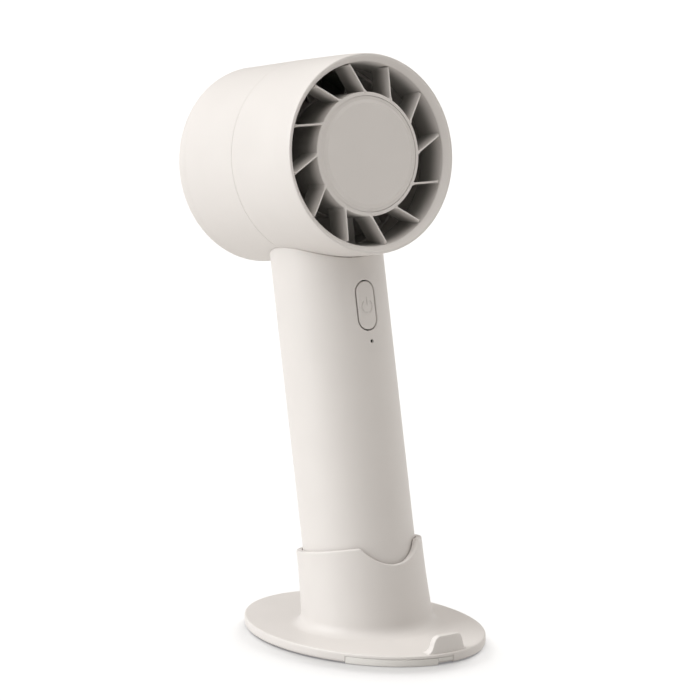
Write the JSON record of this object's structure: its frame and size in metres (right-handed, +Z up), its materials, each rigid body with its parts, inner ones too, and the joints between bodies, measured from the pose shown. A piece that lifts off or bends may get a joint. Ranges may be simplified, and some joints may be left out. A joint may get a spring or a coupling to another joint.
{
  "type": "handheld electric fan",
  "caption": "Handheld battery turbo fan with a round drum head and slim grip, leaning in an oval desk stand that has a phone stop.",
  "frame": {"origin": "centre of the base pad's underside, on the surface the stand rests on, at the middle of the oval plate", "axes": "+Z up, -Y towards where the fan blows and where the phone stop is, +X to the right as seen from the front; the stand is symmetric about X = 0 apart from the grip strip"},
  "size_m": [0.072, 0.1184, 0.2032],
  "materials": {
    "white_shell": "satin moulded ABS",
    "white_inner": "matt moulded plastic",
    "grip_silicone": "matt silicone",
    "pad_rubber": "matt",
    "dark_pad": "matt",
    "dark_plastic": "matt",
    "steel": "plain",
    "brass": "turned",
    "copper_wound": "enamelled windings",
    "magnet": "dark coating",
    "cell_wrap": "shrink wrap",
    "board_green": "solder mask",
    "lens_dark": "smoked",
    "led_clear": "clear",
    "lead_red": "insulation",
    "lead_black": "insulation"
  },
  "bodies": {
    "stand": {"stand_shell": "white_shell", "base_pad": "pad_rubber", "ballast_plate": "steel", "ballast_wedge": "steel", "cup_pad": "dark_pad", "grip_strip": "grip_silicone", "grip_strip_end": "grip_silicone"},
    "fan": {"battery_cell": "cell_wrap", "bearing_tube": "brass", "board_screw_high": "steel", "board_screw_low": "steel", "boost_inductor": "dark_plastic", "cell_cradle": "white_inner", "cell_tab_high": "steel", "cell_tab_low": "steel", "charge_board": "board_green", "circuit_board": "board_green", "controller_chip": "dark_plastic", "cover_screw_left": "steel", "cover_screw_right": "steel", "cover_screw_top": "steel", "duct_ring": "dark_plastic", "dust_screen": "dark_plastic", "front_bearing": "steel", "front_grille": "white_shell", "front_shell": "white_shell", "handle_end_cap": "white_shell", "handle_shell": "white_shell", "hub_cap": "white_shell", "led_light_pipe": "lens_dark", "motor_lead_black": "lead_black", "motor_lead_red": "lead_red", "motor_stator": "copper_wound", "rear_bearing": "steel", "rear_cover": "white_shell", "rear_shell": "white_shell", "status_led": "led_clear", "tact_switch": "steel", "usb_socket": "steel"},
    "rotor": {"impeller": "dark_plastic", "rotor_can": "steel", "magnet_ring": "magnet", "motor_shaft": "steel"},
    "button": {"power_button": "white_shell", "switch_plunger": "dark_plastic"}
  },
  "joints": [
    {"name": "fan_lift", "type": "slide", "parent": "stand", "child": "fan", "axis": [0, 0.1736, 0.9848], "range_m": [0, 0.06]},
    {"name": "impeller_spin", "type": "hinge", "parent": "fan", "child": "rotor", "pos_m": [0, 0.0259, 0.16387], "axis": [0, -0.9848, 0.1736], "continuous": true},
    {"name": "button_press", "type": "slide", "parent": "fan", "child": "button", "axis": [-0.0384, 0.9841, -0.1735], "range_m": [0, 0.0005], "stiffness_N_per_m": 1200, "springref_m": -0.0006}
  ]
}
